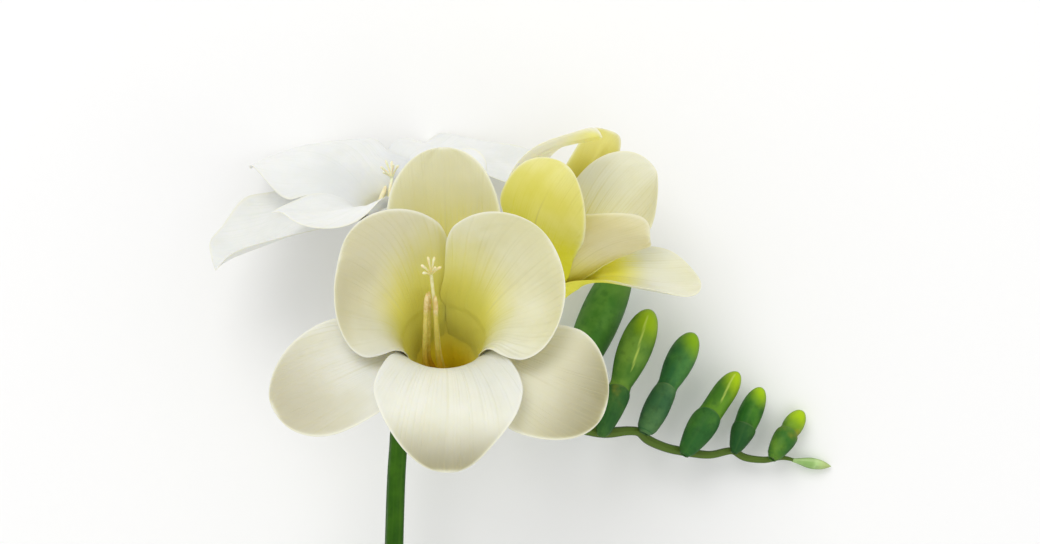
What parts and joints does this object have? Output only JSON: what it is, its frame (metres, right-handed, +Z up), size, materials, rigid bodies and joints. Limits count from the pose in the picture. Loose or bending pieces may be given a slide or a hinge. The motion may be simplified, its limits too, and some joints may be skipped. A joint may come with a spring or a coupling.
{
  "type": "freesia stem",
  "caption": "cut freesia spike lying on its back, with open funnel-shaped flowers in cream, white and pale yellow and a zigzag axis of green closed buds",
  "frame": {"origin": "middle of the box round the lying stem, on the surface it lies on", "axes": "+Z up; the stem lies along Y with its cut end towards -Y and its flowers towards +Y; the spike axis with the closed buds points towards +X"},
  "size_m": [0.1216, 0.2618, 0.0828],
  "materials": {
    "stem": "satin",
    "bract": "satin",
    "bud": "satin",
    "cream_petal": "matte",
    "white_petal": "matte",
    "yellow_petal": "matte",
    "stamen": "matte",
    "style": "matte"
  },
  "bodies": {
    "root": {"stem": "stem", "front_funnel": "cream_petal", "front_petal_top": "cream_petal", "front_petal_left": "cream_petal", "front_petal_right": "cream_petal", "front_petal_lowLeft": "cream_petal", "front_petal_lowRight": "cream_petal", "front_petal_low": "cream_petal", "front_stamen_1": "stamen", "front_stamen_2": "stamen", "front_stamen_3": "stamen", "front_style": "style", "front_outer_bract": "bract", "front_inner_bract": "bract", "back_funnel": "white_petal", "back_petal_rightBack": "white_petal", "back_petal_leftBack": "white_petal", "back_petal_left": "white_petal", "back_petal_leftFront": "white_petal", "back_petal_front": "white_petal", "back_petal_rightFront": "white_petal", "back_stamen_1": "stamen", "back_stamen_2": "stamen", "back_stamen_3": "stamen", "back_style": "style", "back_outer_bract": "bract", "back_inner_bract": "bract", "right_funnel": "yellow_petal", "right_petal_back": "yellow_petal", "right_petal_rightBack": "yellow_petal", "right_petal_right": "yellow_petal", "right_petal_rightFront": "yellow_petal", "right_petal_front": "yellow_petal", "right_petal_left": "yellow_petal", "right_stamen_1": "stamen", "right_stamen_2": "stamen", "right_stamen_3": "stamen", "right_style": "style", "right_outer_bract": "bract", "right_inner_bract": "bract", "bud_1": "bud", "bud_1_outer_bract": "bract", "bud_1_inner_bract": "bract", "bud_2": "bud", "bud_2_outer_bract": "bract", "bud_2_inner_bract": "bract", "bud_3": "bud", "bud_3_outer_bract": "bract", "bud_3_inner_bract": "bract", "bud_4": "bud", "bud_4_outer_bract": "bract", "bud_4_inner_bract": "bract", "bud_5": "bud", "bud_5_outer_bract": "bract", "bud_5_inner_bract": "bract", "bud_6": "bud", "bud_6_outer_bract": "bract", "bud_6_inner_bract": "bract", "tip_bud": "bract"}
  },
  "joints": []
}
